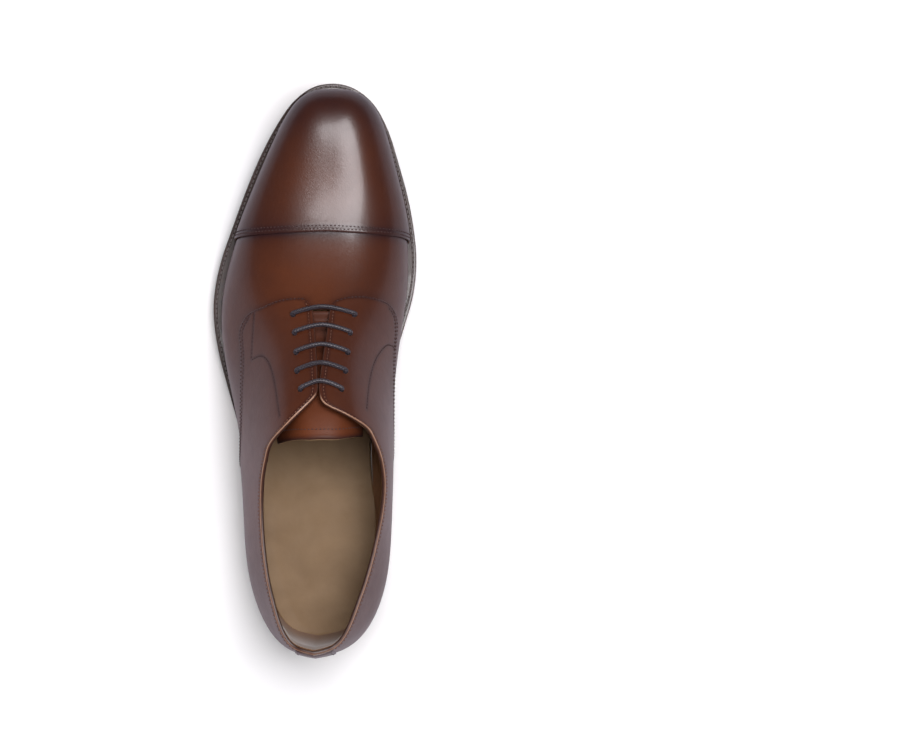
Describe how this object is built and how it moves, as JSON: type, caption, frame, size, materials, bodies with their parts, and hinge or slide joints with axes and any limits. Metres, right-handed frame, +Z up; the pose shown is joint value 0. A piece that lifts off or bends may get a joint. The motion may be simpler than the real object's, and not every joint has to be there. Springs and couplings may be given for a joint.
{
  "type": "cap-toe lace-up shoe",
  "caption": "Left leather cap-toe lace-up shoe with open facings, straight-bar lacing, welted leather sole, rubber forepart and stacked heel.",
  "frame": {"origin": "bottom centre of the shoe's box, on the surface it stands on", "axes": "+Y heel to toe, -X lateral side, +X medial side, +Z up"},
  "size_m": [0.1085, 0.3007, 0.1102],
  "materials": {
    "upper_leather": "polished brown calf, darker patina at toe and seams",
    "lining_leather": "unfinished tan lining leather",
    "sock_leather": "matt khaki tan",
    "interlining": "stiffened fibre sheet",
    "welt_leather": "dark stained welt",
    "sole_leather": "natural sole leather edge",
    "cork": "cork filler",
    "shank_steel": "spring steel",
    "rubber": "matt black rubber",
    "brass": "plain",
    "lace_cord": "waxed round cotton",
    "aglet_plastic": "black tip"
  },
  "bodies": {
    "shoe": {"toe_cap": "upper_leather", "vamp": "upper_leather", "quarter_lateral": "upper_leather", "quarter_medial": "upper_leather", "back_strip": "upper_leather", "topline_binding": "upper_leather", "stay_lateral": "interlining", "stay_medial": "interlining", "toe_puff": "interlining", "heel_counter": "interlining", "vamp_lining": "lining_leather", "quarter_lining": "lining_leather", "heel_grip": "lining_leather", "insole": "sole_leather", "sock_lining": "sock_leather", "heel_pad": "interlining", "cork_filler": "cork", "shank": "shank_steel", "welt": "welt_leather", "outsole": "sole_leather", "forepart_rubber": "rubber", "heel_wedge": "sole_leather", "heel_lift_upper": "sole_leather", "heel_lift_lower": "sole_leather", "heel_rubber_layer": "rubber", "heel_top_piece_leather": "sole_leather", "heel_top_piece_rubber": "rubber", "heel_nails": "brass", "eyelets": "brass", "lace": "lace_cord", "aglets": "aglet_plastic"},
    "tongue": {"tongue": "upper_leather", "tongue_lining": "lining_leather"}
  },
  "joints": [
    {"name": "tongue_fold", "type": "hinge", "parent": "shoe", "child": "tongue", "pos_m": [0.007, 0.0305, 0.068], "axis": [1, 0, 0], "range_deg": [0, 12]}
  ]
}
